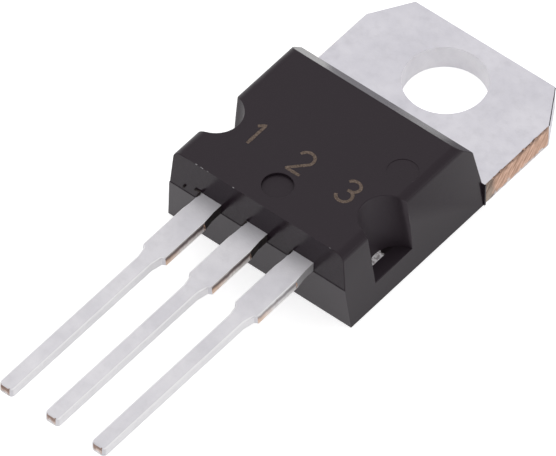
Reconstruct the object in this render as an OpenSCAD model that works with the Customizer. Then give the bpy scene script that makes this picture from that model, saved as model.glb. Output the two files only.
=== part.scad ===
// Three-lead voltage regulator in a flat power package, lying on its back.
// Origin: on the axis of the mounting hole, in the plane of the back.
// +X runs across the package, +Y from the leads to the hole, +Z out of the moulded front.

/* [Heat-sink tab] */
// Width of the copper tab
tab_w = 10.17; // [9.9:0.01:10.4]
// Thickness of the copper tab
tab_t = 1.27; // [1.2:0.01:1.35]
// Distance from the hole to the free end of the tab
hole_to_end = 2.76; // [2.6:0.01:3]
// Diameter of the mounting hole
hole_d = 3.85; // [3.5:0.01:4]
// Width lost to each end corner of the tab
corner_x = 1.19; // [0.6:0.01:1.6]
// Length lost to each end corner of the tab
corner_y = 1.94; // [0.8:0.01:2.4]
// How far the sides of the pad under the moulding lie inside the tab's sides
pad_inset = 0.835; // [0.6:0.005:1]
// Width of the locking step along each side of the pad
pad_side_step = 0.3; // [0.1:0.05:0.5]
// Height of the locking step along the sides of the pad
pad_step_h = 0.55; // [0.3:0.01:0.8]
// Length of the pad under the moulding, at the top of the copper
pad_len = 6.85; // [6.6:0.05:7]
// Length of the locking step at the end of the pad
pad_end_step = 0.55; // [0.3:0.05:0.8]
// Distance from the moulding's end to the groove that locks it
groove_in = 0.7; // [0.5:0.05:0.9]
// Depth of the locking groove
groove_d = 0.18; // [0.08:0.01:0.3]

/* [Moulding] */
// Distance from the hole to the moulding, at the top of the tab
hole_to_body = 3.6; // [3.3:0.01:3.8]
// Length of the moulding at its parting line
body_len = 9.2; // [9:0.01:9.4]
// How far the sides of the moulding's back lie inside the tab's sides
side_inset = 0.015; // [0:0.005:0.1]
// Overall height of the moulding
body_h = 4.46; // [4.4:0.01:4.6]
// Draft of the two side walls in degrees
side_draft = 5.2; // [3:0.1:7]
// Radius along the two long top edges
edge_r = 0.45; // [0.2:0.01:0.6]
// Draft of the lead-end wall below the parting line in degrees
low_draft = 4.5; // [2:0.1:7]
// Draft of the lead-end wall above the parting line in degrees
high_draft = 1.5; // [0.5:0.1:7]
// Setback of the wall above the parting line
parting_step = 0.03; // [0.01:0.01:0.08]
// Draft of the tab-end wall in degrees
tab_end_draft = 10.7; // [5:0.1:15]
// Height of the bevel over the tab-end wall
bevel_h = 0.93; // [0.5:0.01:1.2]
// Thickness of the moulding flash on the sides of the tab
flash_t = 0.04; // [0.02:0.01:0.08]
// Length of the moulding flash along the tab
flash_len = 0.2; // [0.1:0.01:0.4]
// Length and width of the flash's root in the moulding
flash_root = 0.3; // [0.2:0.05:0.5]

/* [Side notches] */
// Distance from the lead-end parting line to the centre of a notch's foot
notch_y = 3.2; // [3:0.01:3.4]
// How far the centre of a notch's foot lies outside the tab's side
notch_out = 0.08; // [0.05:0.01:0.1]
// Radius of the notches
notch_r = 1.24; // [1.15:0.01:1.3]
// How much nearer the leads a notch's mouth is than its foot
notch_lean = 0.24; // [0.1:0.01:0.35]
// How much nearer the middle plane a notch's mouth is than its foot
notch_lean_in = 0.44; // [0.3:0.01:0.5]
// Radius of the rounded corner on the hole's side of a notch
notch_corner_r = 0.35; // [0.25:0.01:0.45]

/* [Ejector marks] */
// Radius of the ejector-pin dimples
pin_r = 0.7; // [0.5:0.01:0.8]
// Depth of the dimple between the leads
dimple_d = 0.14; // [0.05:0.01:0.2]
// Distance from the lead-end parting line to the dimple's centre
dimple_y = 1.4; // [1.1:0.01:1.6]
// Depth of the fainter pin mark
faint_d = 0.02; // [0.01:0.01:0.04]
// Distance of the fainter mark's centre from the middle plane
faint_x = 3.6; // [3.2:0.01:3.7]
// Distance from the lead-end parting line to the fainter mark's centre
faint_y = 5.4; // [5.2:0.01:5.8]

/* [Leads] */
// Spacing of the leads
pitch = 2.54; // [2.5:0.01:2.6]
// Height of the underside of the leads over the back
lead_z = 2.4; // [2.3:0.01:2.6]
// Thickness of the leads
lead_t = 0.5; // [0.45:0.01:0.6]
// Width of a lead beside the moulding
neck_w = 1.12; // [1:0.01:1.2]
// Length of a lead's neck outside the moulding
neck_len = 0.55; // [0.3:0.01:0.8]
// Length over which the neck widens
flare_len = 0.6; // [0.2:0.01:0.8]
// Width of the stretch where the tie bar was cut away
wide_w = 1.34; // [1.25:0.01:1.55]
// Distance from the parting line to the shoulders
shoulder = 3.75; // [3.5:0.01:3.93]
// Length of the slanting corner of a shoulder
corner_len = 0.08; // [0.04:0.01:0.15]
// Width that the taper under a shoulder loses on each side
taper_w = 0.12; // [0.05:0.01:0.2]
// Length of the taper under the shoulders
taper_len = 0.55; // [0.3:0.01:0.8]
// Width of the narrow pins
pin_w = 0.77; // [0.61:0.01:0.88]
// Length of the leads from the parting line to the tips
lead_len = 13.55; // [13:0.01:14]
// Radius of the corners of a tip
tip_r = 0.2; // [0.1:0.01:0.28]
// Inner radius of the two bends that bring the middle lead down to the pad
bend_r = 0.35; // [0.25:0.01:0.45]

/* [Inside the moulding] */
// Length that a lead keeps its neck's width inside the moulding
lead_in = 0.5; // [0.3:0.05:0.6]
// Length of a bond post inside the moulding
post_len = 1.75; // [1.4:0.01:1.9]
// Width of a bond post
post_w = 2.3; // [2:0.01:2.4]
// Depth of a bond post
post_d = 1.05; // [0.8:0.01:1.2]
// How much further out than its lead a bond post lies
post_shift = 0.25; // [0.1:0.05:0.3]
// Radius of the corner cut from a bond post
post_corner_r = 0.3; // [0.1:0.05:0.5]
// Width of the chip
die_w = 2.3; // [1.8:0.01:3]
// Length of the chip
die_l = 2.1; // [1.8:0.01:2.6]
// Thickness of the chip
die_t = 0.28; // [0.2:0.01:0.4]
// Thickness of the solder under the chip
solder_t = 0.05; // [0.03:0.01:0.1]
// Width of the solder that shows around the chip
solder_edge = 0.1; // [0.05:0.01:0.2]
// Distance from the lead-end parting line to the middle of the chip
die_y = 5.2; // [4.6:0.01:5.6]
// Distance of the bond pads from the edges of the chip
bond_in = 0.55; // [0.5:0.01:0.65]
// Distance of the two rear bond pads from the middle of the chip
rear_bond = 0.4; // [0.2:0.01:0.5]
// Distance of a wire's foot from the inner edge of its bond post
post_bond = 0.5; // [0.4:0.01:0.6]
// Distance between the output wire and the sense wire on their post
sense_gap = 0.75; // [0.6:0.01:0.8]
// Distance of the ground wire's foot from the chip, both sideways and to the rear
ground_gap = 1; // [0.7:0.01:1.2]
// Diameter of the bond wires
wire_d = 0.2; // [0.1:0.01:0.25]
// Rise of a bond wire over the line between its feet, as a share of that line
wire_loop = 0.16; // [0.1:0.01:0.2]

/* [Hidden] */
$fn = 64;

epoxy = [0.2, 0.19, 0.2];
tin = [0.8, 0.79, 0.82];
silicon = [0.35, 0.37, 0.42];
solder = [0.6, 0.6, 0.62];
aluminium = [0.86, 0.86, 0.88];

slack = 0.5;
overcut = 0.01;
corner_bite = 0.002;
body_w = tab_w - 2 * side_inset;
pad_w = tab_w - 2 * pad_inset;
pad_back_w = pad_w - 2 * pad_side_step;
notch_x = tab_w / 2 + notch_out;
wall_y = -hole_to_body;
part_y = wall_y - body_len;
low_y = part_y + lead_z * tan(low_draft);
high_y = part_y + parting_step + (body_h - lead_z) * tan(high_draft);
bevel_z = body_h - bevel_h;
bevel_y = wall_y - (bevel_z - tab_t) * tan(tab_end_draft);
front_half_w = body_w / 2 - body_h * tan(side_draft);
edge_cx = front_half_w - edge_r * tan(45 - side_draft / 2);
pad_end_y = wall_y - pad_len;
notch_cy = part_y + notch_y;
lead_top = lead_z + lead_t;
bend_mid = bend_r + lead_t / 2;
bend_angle = atan2(4, 3);
bend_fall = lead_z + lead_t - tab_t;
slope_len = (bend_fall - 2 * bend_mid * (1 - cos(bend_angle))) / sin(bend_angle);
bend_run = 2 * bend_mid * sin(bend_angle) + slope_len * cos(bend_angle);
chip_y = part_y + die_y;
chip_z = tab_t + solder_t;
chip_top = chip_z + die_t;
pad_x = die_w / 2 - bond_in;
front_pad_y = chip_y - die_l / 2 + bond_in;
post_foot_y = part_y + post_len - post_bond;
wire_r = wire_d / 2;
foot_h = wire_d / 2;
foot_w = wire_d * 1.4;
foot_len = wire_d * 2.2;

// A flat lead outline seen from the front, centred on x = 0.
module lead_outline() {
    neck_y = part_y - neck_len;
    flare_y = neck_y - flare_len;
    shoulder_y = part_y - shoulder;
    corner_low_y = shoulder_y - corner_len;
    taper_y = corner_low_y - taper_len;
    tip_y = part_y - lead_len;
    tip_x = pin_w / 2 - tip_r;
    union() {
        polygon([
            [-neck_w / 2, part_y + lead_in], [neck_w / 2, part_y + lead_in],
            [neck_w / 2, neck_y], [wide_w / 2, flare_y],
            [wide_w / 2, shoulder_y], [pin_w / 2 + taper_w, corner_low_y],
            [pin_w / 2, taper_y], [pin_w / 2, tip_y + tip_r],
            [tip_x, tip_y], [-tip_x, tip_y],
            [-pin_w / 2, tip_y + tip_r], [-pin_w / 2, taper_y],
            [-pin_w / 2 - taper_w, corner_low_y], [-wide_w / 2, shoulder_y],
            [-wide_w / 2, flare_y], [-neck_w / 2, neck_y]
        ]);
        translate([tip_x, tip_y + tip_r]) circle(r = tip_r);
        translate([-tip_x, tip_y + tip_r]) circle(r = tip_r);
    }
}

// The stretch of a lead between the moulding's wall and its bond post, with the post.
module post_outline(side) {
    stem_w = neck_w * 0.8;
    post_y = part_y + post_len;
    union() {
        translate([-stem_w / 2, part_y]) square([stem_w, post_len - post_d / 2]);
        difference() {
            translate([side * post_shift - post_w / 2, post_y - post_d]) square([post_w, post_d]);
            translate([side * (post_shift + post_w / 2), post_y]) circle(r = post_corner_r);
        }
    }
}

module flat_lead(side) {
    translate([side * pitch, 0, lead_z])
        union() {
            linear_extrude(lead_t) lead_outline();
            linear_extrude(lead_t) post_outline(side);
        }
}

// A bend in the side view: part of a ring that starts at the given angle.
module bend(start) {
    outer = bend_r + lead_t;
    intersection() {
        difference() {
            circle(r = outer);
            circle(r = bend_r);
        }
        polygon([
            [0, 0],
            [3 * outer * cos(start), 3 * outer * sin(start)],
            [3 * outer * cos(start + bend_angle), 3 * outer * sin(start + bend_angle)]
        ]);
    }
}

// Side view of the step from the lead plane down to the pad, which falls 4 for every 3 along.
// The points are (y, z), with y measured from the end of the pad.
module step_profile() {
    wall = part_y - pad_end_y;
    union() {
        translate([wall, lead_z]) square([-bend_run - wall, lead_t]);
        translate([-bend_run, lead_z - bend_r]) bend(90 - bend_angle);
        translate([-bend_mid * sin(bend_angle), tab_t + bend_r - bend_mid * cos(bend_angle)])
            rotate([0, 0, 180 - bend_angle])
                translate([0, -lead_t / 2])
                    square([slope_len, lead_t]);
        translate([0, tab_t + bend_r]) bend(270 - bend_angle);
    }
}

// The side profile is drawn in the (y, z) plane and drawn out across the package.
module across(width) {
    translate([-width / 2, 0, 0]) rotate([90, 0, 90]) linear_extrude(width) children();
}

module tab_outline() {
    half = tab_w / 2;
    polygon([
        [-half, wall_y], [half, wall_y], [half, hole_to_end - corner_y],
        [half - corner_x, hole_to_end], [-half + corner_x, hole_to_end], [-half, hole_to_end - corner_y]
    ]);
}

module pad() {
    translate([-pad_w / 2, pad_end_y, pad_step_h]) cube([pad_w, pad_len + slack, tab_t - pad_step_h]);
    translate([-pad_back_w / 2, pad_end_y + pad_end_step, 0])
        cube([pad_back_w, pad_len - pad_end_step + slack, tab_t]);
}

module groove() {
    middle = wall_y - groove_in;
    across(pad_w + slack)
        polygon([
            [middle - groove_d, tab_t + overcut], [middle, tab_t - groove_d],
            [middle + groove_d, tab_t + overcut]
        ]);
}

// One piece of copper: tab, pad, the step up to the lead plane, and the middle lead.
module heat_sink_tab_shape() {
    difference() {
        union() {
            linear_extrude(tab_t) tab_outline();
            pad();
            translate([0, pad_end_y, 0]) across(neck_w) step_profile();
            translate([0, 0, lead_z]) linear_extrude(lead_t) lead_outline();
        }
        translate([0, 0, -slack]) cylinder(d = hole_d, h = tab_t + 2 * slack);
        groove();
    }
}

module heat_sink_tab() {
    color(tin) heat_sink_tab_shape();
}

module input_lead() {
    color(tin) flat_lead(-1);
}

module output_lead() {
    color(tin) flat_lead(1);
}

module silicon_die() {
    color(silicon) translate([-die_w / 2, chip_y - die_l / 2, chip_z]) cube([die_w, die_l, die_t]);
}

module die_solder() {
    w = die_w + 2 * solder_edge;
    l = die_l + 2 * solder_edge;
    color(solder) translate([-w / 2, chip_y - l / 2, tab_t]) cube([w, l, solder_t]);
}

// A wedge-bonded wire from one point on a surface to another: an arc of round wire
// with a flattened foot at each end.
module bond_wire(from, to) {
    run = norm([to[0] - from[0], to[1] - from[1]]);
    climb = to[2] - from[2];
    heading = atan2(to[1] - from[1], to[0] - from[0]);
    chord = norm([run, climb]);
    rise = wire_loop * chord;
    arc_r = (chord * chord / 4 + rise * rise) / (2 * rise);
    half_turn = asin(chord / 2 / arc_r);
    translate([from[0], from[1], from[2] + wire_r])
        rotate([0, 0, heading])
            rotate([0, -atan2(climb, run), 0])
                translate([chord / 2, 0, rise - arc_r])
                    rotate([90, 0, 0])
                        rotate([0, 0, 90 - half_turn])
                            rotate_extrude(angle = 2 * half_turn)
                                translate([arc_r, 0]) circle(r = wire_r);
    wire_foot(from, heading, -1);
    wire_foot(to, heading, 1);
}

module wire_foot(at, heading, way) {
    translate(at)
        rotate([0, 0, heading])
            linear_extrude(foot_h)
                union() {
                    translate([way > 0 ? -wire_d * 0.6 : wire_d * 0.6 - foot_len, -foot_w / 2])
                        square([foot_len, foot_w]);
                    translate([way * (foot_len - wire_d * 0.6), 0]) circle(d = foot_w);
                }
}

module input_wire() {
    color(aluminium)
        bond_wire([-pad_x, front_pad_y, chip_top], [-pitch - post_shift, post_foot_y, lead_top]);
}

module output_wire() {
    color(aluminium)
        bond_wire([pad_x, front_pad_y, chip_top], [pitch, post_foot_y, lead_top]);
}

// The sense wire joins the output post to the regulator's own measuring input.
module sense_wire() {
    color(aluminium)
        bond_wire([pad_x, chip_y + rear_bond, chip_top], [pitch + sense_gap, post_foot_y, lead_top]);
}

module ground_wire() {
    color(aluminium)
        bond_wire([-pad_x, chip_y + rear_bond, chip_top],
            [-die_w / 2 - ground_gap, chip_y + ground_gap, tab_t]);
}

// End view of the moulding: drafted sides and two rounded long edges.
module end_view() {
    union() {
        polygon([
            [-body_w / 2, 0], [body_w / 2, 0],
            [edge_cx + edge_r * cos(side_draft), body_h - edge_r + edge_r * sin(side_draft)],
            [edge_cx, body_h], [-edge_cx, body_h],
            [-edge_cx - edge_r * cos(side_draft), body_h - edge_r + edge_r * sin(side_draft)]
        ]);
        translate([edge_cx, body_h - edge_r]) circle(r = edge_r);
        translate([-edge_cx, body_h - edge_r]) circle(r = edge_r);
    }
}

// Side view of the moulding in the (y, z) plane.
module side_view() {
    polygon([
        [low_y, 0], [wall_y, 0], [wall_y, tab_t], [bevel_y, bevel_z],
        [bevel_y - bevel_h, body_h], [high_y, body_h],
        [part_y + parting_step, lead_z], [part_y, lead_z]
    ]);
}

module block() {
    intersection() {
        across(body_w + 2 * slack) side_view();
        translate([0, slack, 0]) rotate([90, 0, 0]) linear_extrude(2 * slack - part_y) end_view();
    }
}

// Outline of the right-hand notch about its own centre: a round with one rounded corner,
// where it runs out into the side wall at the height of the front face.
module notch_outline() {
    round_x = front_half_w - (notch_x - notch_lean_in) - notch_corner_r;
    reach = notch_r + notch_corner_r - corner_bite;
    round_y = sqrt(reach * reach - round_x * round_x);
    union() {
        circle(r = notch_r);
        difference() {
            polygon([[0, 0], [round_x, round_y], [notch_r, round_y], [notch_r, 0]]);
            translate([round_x, round_y]) circle(r = notch_corner_r);
        }
    }
}

// A notch runs straight from the plane of the tab's front to the front face, and leans
// toward the leads and toward the middle plane.
module right_notch() {
    deep = body_h - tab_t;
    intersection() {
        translate([notch_x, notch_cy, tab_t])
            rotate([atan(notch_lean / deep), -atan(notch_lean_in / deep), 0])
                translate([0, 0, -slack])
                    linear_extrude(deep + 2 * slack) notch_outline();
        translate([notch_x - 2 * notch_r, notch_cy - 2 * notch_r, tab_t])
            cube([4 * notch_r, 4 * notch_r, deep + slack]);
    }
}

module flash(side) {
    reach = tab_w / 2 + flash_t;
    translate([side > 0 ? reach - flash_root : -reach, wall_y - flash_root, 0])
        cube([flash_root, flash_root + flash_len, tab_t]);
}

module moulded_body() {
    color(epoxy)
        difference() {
            union() {
                block();
                flash(1);
                flash(-1);
            }
            right_notch();
            mirror([1, 0, 0]) right_notch();
            translate([0, part_y + dimple_y, body_h - dimple_d]) cylinder(r = pin_r, h = slack);
            translate([faint_x, part_y + faint_y, body_h - faint_d]) cylinder(r = pin_r, h = slack);
            heat_sink_tab_shape();
            flat_lead(-1);
            flat_lead(1);
            silicon_die();
            die_solder();
            input_wire();
            output_wire();
            sense_wire();
            ground_wire();
        }
}

moulded_body();
heat_sink_tab();
input_lead();
output_lead();
silicon_die();
die_solder();
input_wire();
output_wire();
sense_wire();
ground_wire();
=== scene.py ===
# %% [markdown]
# # A three-lead voltage regulator, lying on its back
# The object is a small power part: a chip soldered to a copper plate, moulded into black
# epoxy, with three flat leads. The CAD model gives every solid in its true place, so this
# script only dresses it: it rounds the edges that a real tool leaves round, adds the small
# marks of making, and gives each piece its finish. Everything is in metres, and nothing
# that the CAD made is moved.

# %% Load the frame
import math

import bmesh
import bpy
from mathutils import Matrix, Vector
from mathutils.bvhtree import BVHTree


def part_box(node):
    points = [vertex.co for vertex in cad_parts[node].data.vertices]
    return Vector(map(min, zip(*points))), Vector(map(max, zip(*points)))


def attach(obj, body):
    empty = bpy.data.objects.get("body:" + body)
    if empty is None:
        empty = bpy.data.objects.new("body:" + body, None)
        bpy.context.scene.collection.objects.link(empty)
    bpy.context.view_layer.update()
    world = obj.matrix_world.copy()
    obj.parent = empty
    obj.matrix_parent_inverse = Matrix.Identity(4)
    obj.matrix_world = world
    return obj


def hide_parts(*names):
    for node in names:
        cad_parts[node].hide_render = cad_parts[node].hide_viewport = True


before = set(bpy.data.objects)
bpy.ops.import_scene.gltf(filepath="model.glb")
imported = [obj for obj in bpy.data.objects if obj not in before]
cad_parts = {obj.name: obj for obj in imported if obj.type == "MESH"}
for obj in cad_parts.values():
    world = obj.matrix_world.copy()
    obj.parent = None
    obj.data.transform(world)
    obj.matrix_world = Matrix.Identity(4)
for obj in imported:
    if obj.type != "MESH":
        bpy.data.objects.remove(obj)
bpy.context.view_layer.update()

MM = 0.001
BODY = "root"
INNER = ["silicon_die", "die_solder", "input_wire", "output_wire", "sense_wire", "ground_wire"]
print("nodes:", sorted(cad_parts))

# %% [markdown]
# ## Measures from the frame
# A dressing piece must land on the solid that carries it, so its place is measured from the
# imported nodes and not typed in. The moulding's box gives the front face and the parting
# line, and a lead's box gives its thickness and its tip.

# %% Measure the pieces
mould_low, mould_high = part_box("moulded_body")
tab_low, tab_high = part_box("heat_sink_tab")
lead_low, lead_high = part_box("output_lead")
PART_Y = mould_low.y
FRONT_Z = mould_high.z
LEAD_Z = lead_low.z
LEAD_TOP = lead_high.z
PITCH = 2.54 * MM
FILM_Y = PART_Y / MM + 3.45
TIP_Y = lead_low.y
FLARE_Y = PART_Y - 1.16 * MM
TIE_END = PART_Y - 3.76 * MM
TAB_T = 1.27 * MM
TAB_HALF = tab_high.x
FLASH_FOOT = -3.6 * MM
print("parting line at y = %.3f mm, front face at z = %.3f mm" % (PART_Y / MM, FRONT_Z / MM))
print("leads from z = %.3f to %.3f mm" % (LEAD_Z / MM, LEAD_TOP / MM))

# %% [markdown]
# ## Camera
# The photograph was taken with a long lens from above the leads, at about 49 degrees over
# the floor. A long lens keeps parallel edges almost parallel. The three directions below
# are the camera's right, up and back, and make up its turn.

# %% Camera
camera_data = bpy.data.cameras.new("product_camera")
camera_data.sensor_fit = "HORIZONTAL"
camera_data.sensor_width = 36
camera_data.lens = 783.72
camera_data.shift_x = -0.001685
camera_data.shift_y = 0.00107
camera_data.clip_start = 0.01
camera_data.clip_end = 10
camera = bpy.data.objects.new("product_camera", camera_data)
right = Vector((0.77150864, 0.63620989, 0.0033769))
up = Vector((-0.48276168, 0.58195398, 0.65442397))
back = Vector((0.41438579, -0.50652398, 0.75612027))
turn = Matrix((right, up, back)).transposed().to_4x4()
camera.matrix_world = Matrix.Translation((0.214173, -0.273095, 0.392343)) @ turn
bpy.context.scene.collection.objects.link(camera)
bpy.context.scene.camera = camera
bpy.context.scene.view_settings.view_transform = "Standard"
print("camera elevation: %.1f degrees" % math.degrees(math.asin(back.z)))

# %% [markdown]
# ## Node helpers
# A material is a small graph. These helpers keep each graph short: one adds a node and sets
# its values, one joins two sockets, and the rest make the steps that nearly every finish
# uses, which are object coordinates in millimetres, noise, a ramp and a mix of two colours.


# %% Node helpers
class Graph:
    """One material's nodes, with short calls to add and join them."""

    def __init__(self, name):
        self.material = bpy.data.materials.new(name)
        self.material.use_nodes = True
        self.nodes = self.material.node_tree.nodes
        self.links = self.material.node_tree.links
        self.shader = self.nodes["Principled BSDF"]

    def add(self, kind, inputs=None, **settings):
        node = self.nodes.new(kind)
        for key, value in settings.items():
            setattr(node, key, value)
        for key, value in (inputs or {}).items():
            self.plug(value, node.inputs[key])
        return node

    def plug(self, value, socket):
        if isinstance(value, bpy.types.NodeSocket):
            self.links.new(value, socket)
        else:
            socket.default_value = value

    def set(self, **values):
        for key, value in values.items():
            self.plug(value, self.shader.inputs[key.replace("_", " ")])

    def millimetres(self, scale=(1, 1, 1)):
        place = self.add("ShaderNodeTexCoord").outputs["Object"]
        factor = [1000 * s for s in scale]
        return self.add("ShaderNodeMapping", {"Vector": place, "Scale": factor}).outputs["Vector"]

    def noise(self, vector, scale, detail=2, rough=0.5, twist=0):
        return self.add("ShaderNodeTexNoise", {"Vector": vector, "Scale": scale, "Detail": detail,
                        "Roughness": rough, "Distortion": twist}).outputs["Fac"]

    def ramp(self, value, *stops):
        node = self.add("ShaderNodeValToRGB", {"Fac": value})
        while len(node.color_ramp.elements) < len(stops):
            node.color_ramp.elements.new(1)
        for element, (place, colour) in zip(node.color_ramp.elements, stops):
            element.position = place
            tone = (colour,) * 3 if isinstance(colour, (int, float)) else colour
            element.color = (*tone, 1)
        return node.outputs["Color"]

    def blend(self, factor, first, second):
        node = self.add("ShaderNodeMix", data_type="RGBA")
        self.plug(factor, node.inputs[0])
        for socket, value in ((node.inputs[6], first), (node.inputs[7], second)):
            self.plug((*value, 1) if isinstance(value, tuple) else value, socket)
        return node.outputs[2]

    def maths(self, operation, first, second=0.0):
        node = self.add("ShaderNodeMath", operation=operation)
        self.plug(first, node.inputs[0])
        self.plug(second, node.inputs[1])
        return node.outputs[0]

    def span(self, value, low, high, out_low=0.0, out_high=1.0):
        return self.add("ShaderNodeMapRange", {"Value": value, "From Min": low, "From Max": high,
                        "To Min": out_low, "To Max": out_high}).outputs["Result"]

    def axes(self):
        place = self.millimetres()
        return self.add("ShaderNodeSeparateXYZ", {"Vector": place}).outputs

    def bump(self, height, distance):
        node = self.add("ShaderNodeBump", {"Height": height, "Distance": distance})
        self.plug(node.outputs["Normal"], self.shader.inputs["Normal"])


print("helpers ready")

# %% [markdown]
# ## Floor and light
# The object lies on plain white. A soft sky of even strength lights it, so that a colour
# renders about as it is written, and one large lamp from the upper left gives the edges a
# little shape. White paper behind a product is brighter than any colour on it, so rays from
# the camera and mirror-like rays see a sky of strength 1, and the floor adds just enough
# glow for the camera to turn white where nothing shades it.

# %% Sky
SKY_LIGHT = 0.8
world = bpy.data.worlds.new("white_studio")
bpy.context.scene.world = world
world.use_nodes = True
sky = world.node_tree
sky.nodes.clear()
rays = sky.nodes.new("ShaderNodeLightPath")
seen = sky.nodes.new("ShaderNodeMath")
seen.operation = "MAXIMUM"
seen_too = sky.nodes.new("ShaderNodeMath")
seen_too.operation = "MAXIMUM"
sky.links.new(rays.outputs["Is Camera Ray"], seen.inputs[0])
sky.links.new(rays.outputs["Is Glossy Ray"], seen.inputs[1])
sky.links.new(seen.outputs[0], seen_too.inputs[0])
sky.links.new(rays.outputs["Is Transmission Ray"], seen_too.inputs[1])
light_part = sky.nodes.new("ShaderNodeBackground")
light_part.inputs["Strength"].default_value = SKY_LIGHT
light_part.inputs["Color"].default_value = (1, 1, 1, 1)
white_part = sky.nodes.new("ShaderNodeBackground")
white_part.inputs["Strength"].default_value = 1
white_part.inputs["Color"].default_value = (1, 1, 1, 1)
sky_mix = sky.nodes.new("ShaderNodeMixShader")
sky.links.new(seen_too.outputs[0], sky_mix.inputs[0])
sky.links.new(light_part.outputs[0], sky_mix.inputs[1])
sky.links.new(white_part.outputs[0], sky_mix.inputs[2])
sky_out = sky.nodes.new("ShaderNodeOutputWorld")
sky.links.new(sky_mix.outputs[0], sky_out.inputs["Surface"])
print("sky strength", SKY_LIGHT)

# %% Soft lamp
lamp_data = bpy.data.lights.new("soft_window", "AREA")
lamp_data.shape = "RECTANGLE"
lamp_data.size = 0.18
lamp_data.size_y = 0.12
lamp_data.energy = 0.05
lamp = bpy.data.objects.new("soft_window", lamp_data)
lamp.location = (-0.09, 0.02, 0.2)
aim = Vector((0, -0.01, 0)) - lamp.location
lamp.rotation_euler = aim.to_track_quat("-Z", "Y").to_euler()
bpy.context.scene.collection.objects.link(lamp)
print("lamp at", [round(v, 3) for v in lamp.location])

# %% Floor
FLOOR_REACH = 1.5
floor_mesh = bpy.data.meshes.new("studio_floor")
corners = [(-FLOOR_REACH, -FLOOR_REACH, 0), (FLOOR_REACH, -FLOOR_REACH, 0),
           (FLOOR_REACH, FLOOR_REACH, 0), (-FLOOR_REACH, FLOOR_REACH, 0)]
floor_mesh.from_pydata(corners, [], [(0, 1, 2, 3)])
floor = bpy.data.objects.new("studio_floor", floor_mesh)
bpy.context.scene.collection.objects.link(floor)
paper = Graph("white_paper")
paper.set(Base_Color=(0.8, 0.8, 0.8, 1), Roughness=1.0, Specular_IOR_Level=0.0)
paper_rays = paper.add("ShaderNodeLightPath").outputs
looked_at = paper.maths("MAXIMUM", paper_rays["Is Camera Ray"], paper_rays["Is Glossy Ray"])
looked_at = paper.maths("MAXIMUM", looked_at, paper_rays["Is Transmission Ray"])
paper.set(Emission_Color=(1, 1, 1, 1))
paper.plug(paper.maths("MULTIPLY", looked_at, 0.62), paper.shader.inputs["Emission Strength"])
floor_mesh.materials.append(paper.material)
floor.location.z = -0.00001
print("floor laid")

# %% [markdown]
# ## Copies that can be rounded
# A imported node's mesh is loose triangles, fine to render but with nothing for the Bevel
# modifier to follow. So each visible node is copied as clean faces: shared points are
# merged and flat regions become one face each. The copy replaces the node in the picture,
# and its faces are told apart as outside faces and faces that touch another piece, because
# only an edge between two outside faces is rounded.


# %% Make a clean copy of a node
def clean_copy(node, name):
    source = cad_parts[node].data
    mesh = bpy.data.meshes.new(name)
    mesh.from_pydata([v.co[:] for v in source.vertices], [],
                     [p.vertices[:] for p in source.polygons])
    bm = bmesh.new()
    bm.from_mesh(mesh)
    bmesh.ops.remove_doubles(bm, verts=bm.verts, dist=1e-7)
    bmesh.ops.dissolve_limit(bm, angle_limit=math.radians(0.4), verts=bm.verts, edges=bm.edges,
                             delimit={"NORMAL"})
    bm.to_mesh(mesh)
    bm.free()
    piece = bpy.data.objects.new(name, mesh)
    bpy.context.scene.collection.objects.link(piece)
    return piece


def tree_of(node):
    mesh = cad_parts[node].data
    return BVHTree.FromPolygons([v.co for v in mesh.vertices],
                                [p.vertices[:] for p in mesh.polygons])


def touches(tree, point, reach=2e-6):
    return tree.find_nearest(point, reach)[0] is not None


TREES = {name: tree_of(name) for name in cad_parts}
print("search trees for", len(TREES), "nodes")


# %% Choose the edges to round
def weigh_edges(piece, own, rule, least_angle=25):
    """Gives each outside, convex edge the share of the bevel that rule(edge, faces) says."""
    mesh = piece.data
    others = [tree for name, tree in TREES.items() if name != own]
    bm = bmesh.new()
    bm.from_mesh(mesh)
    bm.normal_update()
    layer = bm.edges.layers.float.new("bevel_weight_edge")
    outside = {f: not any(touches(t, f.calc_center_median()) for t in others) for f in bm.faces}
    count = 0
    for edge in bm.edges:
        if len(edge.link_faces) != 2:
            continue
        angle = edge.calc_face_angle_signed(0)
        if angle < math.radians(least_angle) or not all(outside[f] for f in edge.link_faces):
            continue
        edge[layer] = rule(edge)
        count += edge[layer] > 0
    bm.to_mesh(mesh)
    bm.free()
    return count


def round_edges(piece, width, segments):
    bevel = piece.modifiers.new("worn_edges", "BEVEL")
    bevel.width = width
    bevel.segments = segments
    bevel.limit_method = "WEIGHT"
    bevel.use_clamp_overlap = False
    bevel.harden_normals = True
    bevel.miter_outer = "MITER_SHARP"


def smooth_by_angle(piece, degrees=30):
    mesh = piece.data
    mesh.polygons.foreach_set("use_smooth", [True] * len(mesh.polygons))
    bm = bmesh.new()
    bm.from_mesh(mesh)
    for edge in bm.edges:
        if len(edge.link_faces) == 2 and edge.calc_face_angle(0) > math.radians(degrees):
            edge.smooth = False
    bm.to_mesh(mesh)
    bm.free()


print("edge helpers ready")
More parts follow.
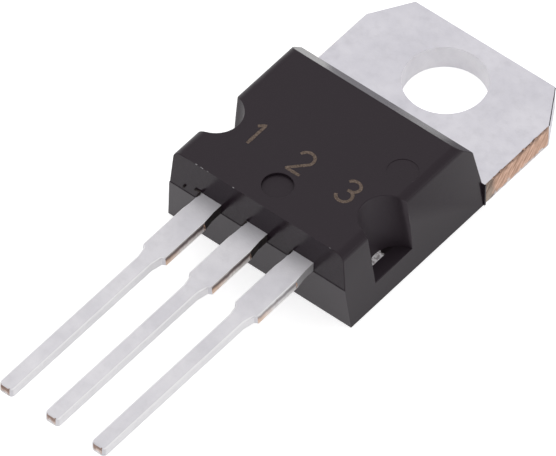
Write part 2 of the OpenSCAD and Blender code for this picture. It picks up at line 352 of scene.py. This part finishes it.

# %% [markdown]
# ## Moulded epoxy
# The compound is black resin full of ground quartz. The tool's front face is finely
# spark-eroded, so it comes out matte with a fine grain, as far as its rounded shoulders
# reach. The drafted walls are polished so that the part slides out, which leaves them shiny
# enough to mirror the leads. The two halves of the tool are polished one by one, so the
# wall under the leads is a little glossier. One graph makes them all: only the grain's
# depth, the roughness and the glint differ. The front's left edge, which faces the window,
# is painted a little paler as a painted highlight, and the slope by the tab has lost some polish
# to the right.


# %% Epoxy finish
def epoxy_finish(name, roughness, grain_depth, base=(0.0165, 0.011, 0.0152), glint=0.33,
                 left_edge_highlight=0, right_glint=None):
    look = Graph(name)
    place = look.millimetres()
    cloud = look.noise(place, 0.55, 4, 0.6)
    grain = look.noise(place, 14, 3, 0.65)
    fine = look.noise(place, 38, 2, 0.5)
    dark = tuple(c * 0.82 for c in base)
    light = tuple(c * 1.22 for c in base)
    colour = look.blend(cloud, dark, light)
    speck = look.ramp(look.noise(place, 26, 1, 0.4), (0.7, 0.0), (0.78, 1.0))
    colour = look.blend(look.maths("MULTIPLY", speck, 0.25), colour, (0.05, 0.05, 0.052))
    # Painted highlight: the front's left edge is blended towards a paler grey, standing in for the
    # light that edge catches from the window.
    across = look.maths("ADD", look.axes()[0], look.span(cloud, 0.3, 0.7, -0.12, 0.12))
    painted_left_highlight = look.maths("MULTIPLY", look.span(across, -4.3, -4.75), left_edge_highlight)
    colour = look.blend(painted_left_highlight, colour, (0.085, 0.08, 0.086))
    look.set(Base_Color=colour, Specular_IOR_Level=glint, Specular_Tint=(1, 0.92, 1, 1))
    if right_glint is not None:
        look.set(Specular_IOR_Level=look.span(look.axes()[0], 1.2, 3.8, glint, right_glint))
    look.set(Roughness=look.span(cloud, 0.3, 0.7, roughness - 0.03, roughness + 0.04))
    mixed = look.maths("ADD", grain, look.maths("MULTIPLY", fine, 0.5))
    look.bump(mixed, grain_depth)
    return look.material


front_epoxy = epoxy_finish("matte_front_epoxy", 0.44, 0.006 * MM, (0.0155, 0.0104, 0.014), 0.23,
                           left_edge_highlight=0.9)
wall_epoxy = epoxy_finish("polished_wall_epoxy", 0.2, 0.0012 * MM, glint=0.17)
lower_epoxy = epoxy_finish("polished_lower_epoxy", 0.2, 0.0012 * MM, glint=0.31)
slope_epoxy = epoxy_finish("polished_slope_epoxy", 0.2, 0.0012 * MM, glint=0.17, right_glint=0.02)
notch_epoxy = epoxy_finish("matte_notch_epoxy", 0.55, 0.005 * MM)
print("epoxy:", front_epoxy.name, wall_epoxy.name, slope_epoxy.name, notch_epoxy.name)

# %% [markdown]
# ## The moulding
# The outside edges are where the two halves of the tool end, and a real one has a small
# radius there, which catches the light on the side that faces the window. The mouths of the
# side notches stay sharp, because their narrow facets leave a bevel no room. The resin that
# leaks out beside the plate is broken off by hand, so only a short stub of it stays.

# %% Dress the moulding
EDGE_R = 0.035 * MM
STUB = 0.06 * MM
ROOT = 0.02 * MM
CAD_ROOT = 0.3 * MM
NOTCH_Y = PART_Y + 3.1 * MM
NOTCH_FACET = 3e-6
WALL, FRONT, NOTCH, UNDER_LEADS, SLOPE = range(5)


def mould_rule(edge):
    """Rounds all edges but those of the faint ejector mark, the notches' mouths and the back."""
    low = min(v.co.z for v in edge.verts)
    high = max(v.co.z for v in edge.verts)
    faint = high < FRONT_Z - 0.01 * MM and low > FRONT_Z - 0.03 * MM
    mouth = high - low > 1 * MM and all(abs(v.co.y - NOTCH_Y) < 1.9 * MM for v in edge.verts)
    if faint or mouth or low < 0.01 * MM:
        return 0.0
    depths = [abs(f.normal.z) for f in edge.link_faces]
    if max(depths) > 0.99 and low > FRONT_Z - 1e-6:
        near_faint = any(0.005 * MM < FRONT_Z - v.co.z < 0.03 * MM
                         for f in edge.link_faces for v in f.verts)
        if near_faint:
            return 0.0
    return 1.0


def mould_slot(face):
    spot = face.center
    if face.normal.y > 0.3 and face.normal.z > 0.15 and spot.y > FLASH_FOOT - 2 * MM:
        return SLOPE
    shoulder = face.normal.z > 0.5 and abs(face.normal.y) < 0.3
    if (face.normal.z > 0.9 or shoulder) and spot.z > FRONT_Z - 0.5 * MM:
        return FRONT
    beside = abs(spot.x) > 3.3 * MM and abs(spot.y - NOTCH_Y) < 1.6 * MM
    side_wall = face.area > NOTCH_FACET
    if beside and spot.z > TAB_T - 0.01 * MM and not side_wall:
        return NOTCH
    if face.normal.y < -0.9 and spot.z < LEAD_Z + 0.3 * MM:
        return UNDER_LEADS
    return WALL


moulding = clean_copy("moulded_body", "moulding")
for v in moulding.data.vertices:
    if v.co.z < TAB_T + 1e-6 and abs(v.co.x) > 4.9 * MM:
        if v.co.y > FLASH_FOOT + STUB:
            v.co.y = FLASH_FOOT + STUB
        elif abs(v.co.y - FLASH_FOOT + CAD_ROOT) < 0.01 * MM:
            v.co.y = FLASH_FOOT - ROOT
rounded = weigh_edges(moulding, "moulded_body", mould_rule)
for finish in (wall_epoxy, front_epoxy, notch_epoxy, lower_epoxy, slope_epoxy):
    moulding.data.materials.append(finish)
for face in moulding.data.polygons:
    face.material_index = mould_slot(face)
smooth_by_angle(moulding)
round_edges(moulding, EDGE_R, 2)
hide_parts("moulded_body")
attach(moulding, BODY)
print("moulding:", len(moulding.data.polygons), "faces,", rounded, "edges rounded")

# %% [markdown]
# ## Tin and bare copper
# The copper is plated with matte tin before it is cut from its strip, so the flat faces are
# pale and slightly cloudy, and every face that the shears cut afterwards shows bare copper.
# The tin's clouds are soft patches in the roughness and a very shallow orange peel. At the
# foot of each side notch the plate shows as a small bright sickle. A film of resin has
# crept over its end nearest the hole, so the graph turns dark there. The pins' sides and
# rounded long edges are painted brighter as painted light, found from the normal. Shearing
# leaves leaning streaks in the copper, which is coloured darker and duller by the wall.


# %% Tin finish
def tin_finish(name, base, roughness, depth, metal, painted_light_share=0.0):
    look = Graph(name)
    place = look.millimetres()
    cloud = look.noise(place, 0.45, 5, 0.62)
    patch = look.noise(place, 2.6, 4, 0.6)
    peel = look.noise(place, 9, 3, 0.55)
    brushed = look.noise(look.millimetres(scale=(6, 0.5, 6)), 2.4, 3, 0.6)
    pale = tuple(min(1.0, c * 1.05) for c in base)
    dull = tuple(c * f for c, f in zip(base, (0.93, 0.93, 0.945)))
    colour = look.blend(look.span(cloud, 0.35, 0.65), dull, pale)
    colour = look.blend(look.maths("MULTIPLY", look.span(patch, 0.5, 0.72), 0.25), colour,
                        tuple(c * 0.86 for c in base))
    # Painted light: the pins' rounded long edges and side faces are blended towards near-white, a
    # painted highlight on the edges and painted light on the sides.
    facing = look.add("ShaderNodeNewGeometry").outputs["Normal"]
    way = look.add("ShaderNodeSeparateXYZ", {"Vector": facing})
    aside = look.maths("ABSOLUTE", way.outputs["X"])
    edge_highlight_mask = look.span(look.maths("MULTIPLY", aside, way.outputs["Z"]), 0.15, 0.42)
    side_light_mask = look.span(aside, 0.85, 0.97, 0, 0.55)
    painted_edge_light = look.maths("MULTIPLY", look.maths("MAXIMUM", edge_highlight_mask, side_light_mask), painted_light_share)
    colour = look.blend(painted_edge_light, colour, (0.95, 0.94, 0.95))
    look.set(Base_Color=colour, Metallic=metal)
    look.set(Roughness=look.span(patch, 0.3, 0.7, roughness - 0.06, roughness + 0.08))
    mixed = look.maths("ADD", peel, look.maths("MULTIPLY", brushed, 0.4))
    look.bump(mixed, depth)
    return look


plate_look = tin_finish("matte_tin_plate", (0.57, 0.557, 0.594), 0.42, 0.004 * MM, 0.9)
y = plate_look.axes()[1]
in_notch = plate_look.span(y, -5.0, -5.1)
edge = plate_look.noise(plate_look.millimetres(), 3, 3, 0.6)
film = plate_look.maths("ADD", y, plate_look.span(edge, 0.3, 0.7, -0.12, 0.12))
film = plate_look.maths("MULTIPLY", in_notch, plate_look.span(film, FILM_Y - 0.03, FILM_Y + 0.03))
plain = plate_look.shader.inputs["Base Color"].links[0].from_socket
scores = plate_look.noise(plate_look.millimetres(scale=(1, 2.2, 1)), 4, 2, 0.6)
scored = plate_look.blend(plate_look.span(scores, 0.5, 0.62), (0.97, 0.94, 0.96),
                          (0.42, 0.39, 0.4))
scraped = plate_look.blend(in_notch, plain, scored)
plate_look.set(Base_Color=plate_look.blend(film, scraped, (0.014, 0.01, 0.012)))
plate_look.set(Metallic=plate_look.span(in_notch, 0, 1, 0.9, 0.0))
plate_look.set(Specular_IOR_Level=plate_look.span(film, 0, 1, 0.5, 0.2))
tab_tin = plate_look.material
lead_tin = tin_finish("matte_tin_leads", (0.665, 0.65, 0.678), 0.46, 0.005 * MM, 0.36,
                      painted_light_share=0.8).material
hole_tin = tin_finish("matte_tin_hole", (0.87, 0.855, 0.885), 0.5, 0.004 * MM, 0.2).material
burnished_tin = tin_finish("burnished_tin_edge", (0.86, 0.85, 0.86), 0.25, 0.003 * MM,
                           0.8).material
print("tin:", tab_tin.name, lead_tin.name, burnished_tin.name)


# %% Cut copper finish
def cut_copper_finish(name, low_z, high_z, bright, burnt, dark_from=0.8, foot=0.17):
    look = Graph(name)
    x, y, z = look.axes()
    level = look.span(z, low_z, high_z)
    leaned = look.maths("SUBTRACT", y, look.maths("MULTIPLY", z, 0.95))
    place = look.add("ShaderNodeCombineXYZ", {"X": x, "Y": leaned,
                     "Z": look.maths("MULTIPLY", z, 0.25)}).outputs["Vector"]
    streaks = look.noise(place, 5.5, 4, 0.7, 0.3)
    blotch = look.noise(look.millimetres(), 3.2, 4, 0.65)
    level = look.maths("ADD", level, look.span(blotch, 0.3, 0.7, -0.14, 0.14))
    copper = look.blend(look.span(streaks, 0.4, 0.66), bright, burnt)
    top_dark = look.span(level, dark_from, dark_from + 0.13)
    copper = look.blend(look.maths("MULTIPLY", top_dark, 0.75), copper, (0.17, 0.1, 0.07))
    tin_foot = look.span(level, foot, foot - 0.11)
    copper = look.blend(tin_foot, copper, (0.6, 0.59, 0.6))
    # Within about half a millimetre of the wall, the copper is blended towards a darker, duller
    # brown.
    near_wall = look.maths("ADD", y, look.span(blotch, 0.3, 0.7, -0.1, 0.1))
    darker_by_wall = look.maths("MULTIPLY", look.span(near_wall, -2.85, -3.1), look.span(y, -8, -7.9))
    dulled = look.blend(look.span(streaks, 0.42, 0.6), (0.3, 0.25, 0.205), (0.1, 0.065, 0.05))
    copper = look.blend(look.maths("MULTIPLY", darker_by_wall, 0.85), copper, dulled)
    look.set(Base_Color=copper, Metallic=0.85)
    look.set(Roughness=look.span(streaks, 0.3, 0.7, 0.42, 0.62))
    look.bump(look.maths("ADD", streaks, blotch), 0.018 * MM)
    return look.material


plate_copper = cut_copper_finish("sheared_plate_copper", 0.0, TAB_T / MM, (0.66, 0.44, 0.335),
                                 (0.3, 0.175, 0.115))
tip_copper = cut_copper_finish("sheared_tip_copper", LEAD_Z / MM - 0.1, LEAD_TOP / MM + 0.02,
                               (0.62, 0.5, 0.46), (0.22, 0.15, 0.13), dark_from=0.55, foot=0.45)
print("copper:", plate_copper.name, tip_copper.name)

# %% [markdown]
# ## Where the tie bar was
# The punch that frees the leads goes in from above. It drags a bright rim of tin over the
# top edge, leaves a dark band where it cuts the copper, and below that the metal breaks
# off, pale and clean. The finish is therefore laid out by height, with a noise that makes
# the bands uneven, and the outer lead's cut, which faces open space, is painted lighter
# as painted light.

# %% Tie bar finish
def tie_bar_finish(name):
    look = Graph(name)
    x, y, z = look.axes()
    place = look.millimetres(scale=(1, 1, 0.3))
    ragged = look.noise(place, 2.4, 4, 0.65)
    streaks = look.noise(look.millimetres(scale=(1, 1, 0.2)), 8, 3, 0.7)
    level = look.span(z, LEAD_Z / MM, LEAD_TOP / MM)
    level = look.maths("ADD", level, look.span(ragged, 0.3, 0.7, -0.08, 0.08))
    band = look.ramp(level, (0.0, (0.9, 0.88, 0.87)), (0.34, (0.8, 0.74, 0.72)),
                     (0.52, (0.34, 0.27, 0.26)), (0.62, (0.1, 0.075, 0.075)),
                     (0.8, (0.13, 0.1, 0.1)), (0.92, (0.5, 0.46, 0.45)))
    pale = look.ramp(level, (0.0, (0.9, 0.89, 0.89)), (0.45, (0.62, 0.59, 0.6)),
                     (0.6, (0.3, 0.28, 0.29)), (0.78, (0.33, 0.31, 0.32)), (0.9, (0.7, 0.69, 0.7)))
    # Painted light: the cut of the outer lead, beyond x = 1.5 mm, takes a lighter ramp than the
    # inner leads' cuts.
    colour = look.blend(look.span(x, 1.5, 2.8), band, pale)
    tan = look.maths("MULTIPLY", look.span(y, TIE_END / MM + 1.1, TIE_END / MM + 0.1),
                     look.span(level, 0.75, 0.45))
    colour = look.blend(look.maths("MULTIPLY", tan, 0.6), colour, (0.62, 0.34, 0.16))
    colour = look.blend(look.span(streaks, 0.56, 0.75, 0, 0.45), colour, (0.2, 0.13, 0.11))
    look.set(Base_Color=colour, Metallic=0.55, Roughness=look.span(streaks, 0.3, 0.7, 0.34, 0.55))
    look.bump(look.maths("ADD", streaks, ragged), 0.012 * MM)
    return look.material


bar_copper = tie_bar_finish("sheared_tie_bar_copper")
print("tie bar:", bar_copper.name)

# %% [markdown]
# ## Painted shade on the necks
# The neck sides that face a neighbouring lead, up to where the tie bar was, are painted
# near black as painted shade from the neighbouring leads. The two outer sides lie open, so
# they only get a darker tin, which is painted shade too.

# %% Neck finishes
# Painted shade: this near-black stands for the shade on the neck sides between the leads; the same
# material is the real resin of the crumbs and the painted shade of the plate's corner line.
black_resin_and_shade_look = Graph("black_resin_and_painted_shade")
black_resin_and_shade_patch = black_resin_and_shade_look.noise(black_resin_and_shade_look.millimetres(), 4, 4, 0.7)
black_resin_and_shade_look.set(Base_Color=black_resin_and_shade_look.ramp(black_resin_and_shade_patch, (0.42, (0.012, 0.009, 0.01)),
                                (0.72, (0.05, 0.04, 0.038))))
black_resin_and_shade_look.set(Roughness=0.65, Specular_IOR_Level=0.15)
black_resin_and_shade_look.bump(black_resin_and_shade_patch, 0.01 * MM)
black_resin_and_shade = black_resin_and_shade_look.material
# Painted shade: a darker tin for the open outer sides of the necks.
shaded_side_tin = tin_finish("painted_shade_tin_side", (0.42, 0.41, 0.42), 0.5, 0.006 * MM, 0.5).material
print("necks:", black_resin_and_shade.name, shaded_side_tin.name)

# %% [markdown]
# ## Leads and plate
# A stamping has one soft edge, where the punch drew the metal down, and one sharp edge,
# where it broke through. The Bevel modifier rounds both a little, and the faces that were
# cut after plating get the copper: the two sides of the plate, the stretch where the tie
# bar was, and the tips.

# %% Which finish each metal face takes
CENTRES = {"input_lead": -PITCH, "heat_sink_tab": 0.0, "output_lead": PITCH}
TIN, PLATE_CUT, TIE_CUT, TIP_CUT, NECK_SHADE, OPEN_NECK_SHADE, LEAD_TIN, HOLE = range(8)
HOLE_R = 1.925 * MM


def metal_slot(face, points, centre):
    spot, way = face.center, face.normal
    near = min(points[i].co.y for i in face.vertices)
    high = max(points[i].co.z for i in face.vertices)
    if abs(way.x) > 0.95 and spot.z < TAB_T and abs(spot.x) > TAB_HALF - 0.05 * MM:
        return PLATE_CUT
    if abs(way.z) < 0.1 and spot.xy.length < HOLE_R + 0.02 * MM:
        return HOLE
    on_lead = near < PART_Y and high > LEAD_Z
    # Neck sides: near-black painted shade between the leads, darker painted-shade tin on the open
    # outer sides.
    if on_lead and abs(way.x) > 0.9 and near > FLARE_Y - 0.02 * MM:
        outward = way.x * centre > 0 and abs(centre) > 0
        return OPEN_NECK_SHADE if outward else NECK_SHADE
    if on_lead and abs(way.x) > 0.9 and spot.y > TIE_END:
        return TIE_CUT
    if way.y < -0.95 and spot.y < TIP_Y + 0.01 * MM:
        return TIP_CUT
    return LEAD_TIN if near < PART_Y else TIN


def metal_rule(edge):
    if any(v.co.y > PART_Y - 0.05 * MM and v.co.z > LEAD_Z - 0.01 * MM for v in edge.verts):
        return 0.0
    top = min(v.co.z for v in edge.verts) > LEAD_TOP - 1e-6
    pin = max(v.co.y for v in edge.verts) < TIE_END
    if all(v.co.xy.length < HOLE_R + 0.02 * MM for v in edge.verts):
        return 0.0
    return 1.0 if top and pin else 0.4


def slant_the_cut(piece, centre):
    """The shears draw the top edge of the tie-bar stretch in, so its cut face leans."""
    for v in piece.data.vertices:
        wide = abs(abs(v.co.x - centre) - 0.67 * MM) < 0.01 * MM
        if wide and v.co.y < PART_Y and v.co.z > LEAD_TOP - 1e-6:
            v.co.x -= math.copysign(0.05 * MM, v.co.x - centre)


# %% Dress the leads and the plate
def dress_metal(node, name, tin):
    piece = clean_copy(node, name)
    centre = CENTRES[node]
    slant_the_cut(piece, centre)
    count = weigh_edges(piece, node, metal_rule)
    for finish in (tin, plate_copper, bar_copper, tip_copper, black_resin_and_shade, shaded_side_tin,
                   lead_tin, hole_tin):
        piece.data.materials.append(finish)
    for face in piece.data.polygons:
        face.material_index = metal_slot(face, piece.data.vertices, centre)
    smooth_by_angle(piece)
    round_edges(piece, 0.09 * MM, 3)
    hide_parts(node)
    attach(piece, BODY)
    print(name, len(piece.data.polygons), "faces,", count, "edges rounded")


dress_metal("heat_sink_tab", "plated_tab", tab_tin)
dress_metal("input_lead", "input_pin", lead_tin)
dress_metal("output_lead", "output_pin", lead_tin)

# %% [markdown]
# ## Threads along a path
# Burrs, flash and laser lines all follow an edge or a line, so one Geometry Nodes tree makes
# them: it takes a wire, spaces points along it, lets a noise swell and thin it, and sweeps a
# small ring along it. The seed is fixed, so each build is the same.

# %% Geometry Nodes thread
def thread_tree():
    tree = bpy.data.node_groups.new("thread_on_path", "GeometryNodeTree")
    sockets = {}
    for name, kind in (("Wire", "Geometry"), ("Thickness", "Float"), ("Unevenness", "Float"),
                       ("Step", "Float"), ("Grain", "Float"), ("Sides", "Int"), ("Seed", "Float"),
                       ("Finish", "Material")):
        socket = tree.interface.new_socket(name, in_out="INPUT", socket_type="NodeSocket" + kind)
        sockets[name] = socket.identifier
    tree.interface.new_socket("Thread", in_out="OUTPUT", socket_type="NodeSocketGeometry")
    make, link = tree.nodes.new, tree.links.new
    given = make("NodeGroupInput").outputs
    curve = make("GeometryNodeMeshToCurve")
    link(given["Wire"], curve.inputs["Mesh"])
    spaced = make("GeometryNodeResampleCurve")
    spaced.mode = "LENGTH"
    link(curve.outputs["Curve"], spaced.inputs["Curve"])
    link(given["Step"], spaced.inputs["Length"])
    noise = make("ShaderNodeTexNoise")
    noise.noise_dimensions = "4D"
    link(given["Grain"], noise.inputs["Scale"])
    link(given["Seed"], noise.inputs["W"])
    swell = make("ShaderNodeMapRange")
    link(noise.outputs["Fac"], swell.inputs["Value"])
    swell.inputs["From Min"].default_value = 0.3
    swell.inputs["From Max"].default_value = 0.7
    thin = make("ShaderNodeMath")
    thin.operation = "SUBTRACT"
    thin.inputs[0].default_value = 1
    link(given["Unevenness"], thin.inputs[1])
    link(thin.outputs[0], swell.inputs["To Min"])
    sized = make("GeometryNodeSetCurveRadius")
    link(spaced.outputs["Curve"], sized.inputs["Curve"])
    link(swell.outputs["Result"], sized.inputs["Radius"])
    ring = make("GeometryNodeCurvePrimitiveCircle")
    link(given["Sides"], ring.inputs["Resolution"])
    link(given["Thickness"], ring.inputs["Radius"])
    sweep = make("GeometryNodeCurveToMesh")
    link(sized.outputs["Curve"], sweep.inputs["Curve"])
    link(ring.outputs["Curve"], sweep.inputs["Profile Curve"])
    sweep.inputs["Fill Caps"].default_value = True
    if "Scale" in sweep.inputs:
        link(swell.outputs["Result"], sweep.inputs["Scale"])
    real = make("GeometryNodeRealizeInstances")
    link(sweep.outputs["Mesh"], real.inputs["Geometry"])
    paint = make("GeometryNodeSetMaterial")
    link(real.outputs["Geometry"], paint.inputs["Geometry"])
    link(given["Finish"], paint.inputs["Material"])
    link(paint.outputs["Geometry"], make("NodeGroupOutput").inputs["Thread"])
    return tree, sockets


THREAD, THREAD_SOCKETS = thread_tree()
print("thread tree:", len(THREAD.nodes), "nodes")


# %% Lay threads along wires
def lay_threads(name, wires, finish, slot_name, **given):
    """wires: lists of points in millimetres. Returns the finished piece."""
    points, edges = [], []
    for wire in wires:
        start = len(points)
        points += [tuple(c * MM for c in point) for point in wire]
        edges += [(start + i, start + i + 1) for i in range(len(wire) - 1)]
    draft_mesh = bpy.data.meshes.new(name + "_wire")
    draft_mesh.from_pydata(points, edges, [])
    draft = bpy.data.objects.new(name + "_wire", draft_mesh)
    bpy.context.scene.collection.objects.link(draft)
    sweep = draft.modifiers.new("thread", "NODES")
    sweep.node_group = THREAD
    values = {"Thickness": 0.03 * MM, "Unevenness": 0.5, "Step": 0.12 * MM, "Grain": 2500.0,
              "Sides": 6, "Seed": 1.0, "Finish": finish}
    values.update(given)
    for key, value in values.items():
        sweep[THREAD_SOCKETS[key]] = value
    graph = bpy.context.evaluated_depsgraph_get()
    mesh = bpy.data.meshes.new_from_object(draft.evaluated_get(graph))
    mesh.name = name
    bpy.data.objects.remove(draft)
    piece = bpy.data.objects.new(name, mesh)
    bpy.context.scene.collection.objects.link(piece)
    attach(piece, BODY)
    print(name, len(wires), "threads,", len(mesh.polygons), "faces")
    return piece


# %% [markdown]
# ## Pin numbers
# A laser burns the marks into the front. It bleaches the resin to a brownish grey and takes
# away a few thousandths of a millimetre, so the strokes are threads pressed almost flat.
# Each lead gets its plain number, 1 to 3, as many such parts have.

# %% Pin numbers
etch = Graph("laser_etched_epoxy")
etch_dots = etch.noise(etch.millimetres(), 11, 3, 0.7)
etch.set(Base_Color=etch.ramp(etch_dots, (0.35, (0.085, 0.062, 0.05)), (0.68, (0.21, 0.16, 0.13))))
etch.set(Roughness=0.85, Specular_IOR_Level=0.1)
etch.bump(etch_dots, 0.006 * MM)

TALL, BROAD = 1.3, 0.74
ETCH_FLATNESS = 0.05


def arc(centre, radii, start, end, steps=14):
    turns = [math.radians(start + (end - start) * i / steps) for i in range(steps + 1)]
    return [(centre[0] + radii[0] * math.cos(t), centre[1] + radii[1] * math.sin(t))
            for t in turns]


half, top = BROAD / 2, TALL / 2
DIGITS = {
    1: [[(-0.24, top - 0.26), (0.02, top), (0.02, -top)]],
    2: [arc((0, top - half), (half, half), 170, -32) + [(-half, -top), (half, -top)]],
    3: [arc((0, top - 0.31), (half * 0.92, 0.31), 160, -75) + [(-0.08, 0.03)],
        [(-0.08, 0.03)] + arc((0, -top + 0.36), (half, 0.36), 80, -160)],
}
strokes = []
for number, centre in zip((1, 2, 3), (-PITCH, 0.0, PITCH)):
    for line in DIGITS[number]:
        strokes.append([(centre / MM + u, PART_Y / MM + 3.05 + v, FRONT_Z / MM) for u, v in line])
numbers = lay_threads("pin_numbers", strokes, etch.material, "black_epoxy", Thickness=0.09 * MM,
                      Unevenness=0.25, Step=0.05 * MM, Grain=5000.0, Sides=8, Seed=3.0)
for v in numbers.data.vertices:
    v.co.z = FRONT_Z + (v.co.z - FRONT_Z) * ETCH_FLATNESS
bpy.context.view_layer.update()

# %% [markdown]
# ## Burrs and flash
# Shears push a ragged lip of copper over the edge where they leave the plate, and the tin
# smears along the other edge. Resin escapes as thin flash where the two halves of the tool
# meet and where the plate passes through the wall. All are threads a few hundredths of a
# millimetre thick, half sunk in the edge that carries them. The lip is burnt brown along
# the right side only, and a thin near-black thread along the corner beyond it is painted shade.

# %% Burrs and flash
burnt_lip = Graph("burnt_copper_lip")
lip_dots = burnt_lip.noise(burnt_lip.millimetres(), 7, 4, 0.7)
burnt_lip.set(Base_Color=burnt_lip.ramp(lip_dots, (0.42, (0.1, 0.06, 0.045)),
                                        (0.62, (0.6, 0.4, 0.3))))
burnt_lip.set(Metallic=0.5, Roughness=0.6)
burnt_lip.bump(lip_dots, 0.012 * MM)

side = TAB_HALF / MM
thick = TAB_T / MM
wall = FLASH_FOOT / MM
lips = [[(side - 0.02, wall + 0.4, thick - 0.035), (side - 0.015, 0.8, thick - 0.035)]]
smears, seams = [], []
for way in (-1, 1):
    edge_x = way * side
    smears.append([(edge_x - way * 0.02, wall + 0.02, 0.05), (edge_x - way * 0.02, 0.8, 0.05)])
    seams.append([(edge_x + way * 0.01, wall + 0.01, 0.06),
                  (edge_x + way * 0.01, wall + 0.01, thick)])
seams.append([(-side, wall + 0.01, thick), (side, wall + 0.01, thick)])
smears.append([(-side + 0.02, wall + 0.4, thick - 0.03), (-side + 0.02, 0.7, thick - 0.03),
               (-side + 0.06, 0.92, thick - 0.02)])
lay_threads("plate_edge_burrs", lips, burnt_lip.material, "tinned_copper", Thickness=0.06 * MM,
            Unevenness=0.95, Step=0.05 * MM, Grain=5200.0, Sides=7, Seed=4.0)
# Painted shade: a near-black thread along the plate's corner edge stands for the shade there.
corner_shade_line = [[(side - 0.02, 0.86, thick - 0.02), (3.92, 2.71, thick - 0.02)]]
lay_threads("plate_corner_painted_shade", corner_shade_line, black_resin_and_shade, "tinned_copper", Thickness=0.024 * MM,
            Unevenness=0.25, Step=0.1 * MM, Grain=3000.0, Sides=6, Seed=9.0)
lay_threads("plate_edge_smears", smears, burnished_tin, "tinned_copper", Thickness=0.04 * MM,
            Unevenness=0.6, Step=0.1 * MM, Grain=3000.0, Sides=7, Seed=8.0)
lay_threads("plate_seam_flash", seams, wall_epoxy, "black_epoxy", Thickness=0.035 * MM,
            Unevenness=0.8, Step=0.08 * MM, Grain=2600.0, Sides=7, Seed=5.0)

# %% [markdown]
# ## Nubs, crumbs and chips
# The punch that cuts the tie bar away leaves a small nub where the cut begins. Crumbs of
# resin cling to the leads' roots and to the parting line, and the sharp front edge is
# chipped in a few places. All of them are short threads with a strong swell, so no two
# look the same.

# %% Nubs and crumbs
nubs, crumbs = [], []
root_y, root_z = PART_Y / MM, LEAD_TOP / MM
for centre in (-PITCH / MM, 0.0, PITCH / MM):
    for way in (-1, 1):
        x, y = centre + way * 0.64, FLARE_Y / MM - 0.05
        nubs.append([(x, y, LEAD_Z / MM + 0.03), (x + way * 0.01, y + 0.03, 2.66),
                     (x - way * 0.03, y, root_z - 0.12)])
    crumbs.append([(centre - 0.57, root_y - 0.3, root_z - 0.02),
                   (centre - 0.58, root_y, root_z + 0.01)])
crumbs.append([(-3.42, root_y + 0.01, root_z + 0.01), (-3.1, root_y + 0.02, root_z + 0.05)])
crumbs.append([(-4.07, root_y - 0.005, 2.6), (-4.0, root_y + 0.01, 2.72)])
lay_threads("tie_bar_nubs", nubs, burnt_lip.material, "tinned_lead", Thickness=0.05 * MM,
            Unevenness=0.7, Step=0.05 * MM, Grain=6000.0, Sides=7, Seed=11.0)
lay_threads("resin_crumbs", crumbs, black_resin_and_shade, "black_epoxy", Thickness=0.07 * MM,
            Unevenness=0.7, Step=0.04 * MM, Grain=7000.0, Sides=7, Seed=2.0)

# %% Chips of the front edge
chipped = Graph("chipped_epoxy_edge")
chip_dots = chipped.noise(chipped.millimetres(), 14, 3, 0.7)
chipped.set(Base_Color=chipped.ramp(chip_dots, (0.4, (0.1, 0.095, 0.1)),
                                    (0.62, (0.42, 0.41, 0.42))))
chipped.set(Roughness=0.7, Specular_IOR_Level=0.3)
chipped.bump(chip_dots, 0.01 * MM)
front_y = min(v.co.y for v in moulding.data.vertices if v.co.z > FRONT_Z - 1e-6) / MM
chip_y, chip_z = front_y + 0.01, FRONT_Z / MM - 0.01
chips = [[(x, chip_y, chip_z), (x + reach, chip_y, chip_z)]
         for x, reach in ((-3.46, 0.1), (-3.18, 0.14), (-2.84, 0.1), (-1.4, 0.08), (3.9, 0.09))]
lay_threads("front_edge_chips", chips, chipped.material, "black_epoxy", Thickness=0.02 * MM,
            Unevenness=0.5, Step=0.03 * MM, Grain=9000.0, Sides=6, Seed=6.0)
print("front edge at y = %.3f mm" % front_y)

# %% [markdown]
# ## Inner pieces
# The chip, its solder and the four bond wires are sealed in. They stay as the CAD made
# them and get the finish of the real thing, for whoever cuts the model open.

# %% Inner finishes
def inner_finish(name, base, metallic, roughness, scale, depth, second):
    look = Graph(name)
    place = look.millimetres()
    spots = look.noise(place, scale, 3, 0.6)
    look.set(Base_Color=look.blend(look.span(spots, 0.35, 0.65), base, second), Metallic=metallic)
    look.set(Roughness=look.span(spots, 0.3, 0.7, roughness * 0.8, roughness * 1.2))
    look.bump(spots, depth)
    return look.material


chip_silicon = inner_finish("polished_silicon", (0.2, 0.21, 0.25), 0.6, 0.12, 3, 0.0005 * MM,
                            (0.26, 0.27, 0.32))
soft_solder = inner_finish("soft_solder", (0.45, 0.45, 0.47), 1.0, 0.4, 6, 0.004 * MM,
                           (0.55, 0.55, 0.56))
wire_metal = inner_finish("drawn_bond_wire", (0.78, 0.78, 0.8), 1.0, 0.28, 12, 0.002 * MM,
                          (0.68, 0.68, 0.7))
for node in INNER:
    finish = {"silicon_die": chip_silicon, "die_solder": soft_solder}.get(node, wire_metal)
    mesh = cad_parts[node].data
    if not mesh.materials:
        mesh.materials.append(finish)
    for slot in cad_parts[node].material_slots:
        slot.material = finish
print("inner pieces finished:", len(INNER))
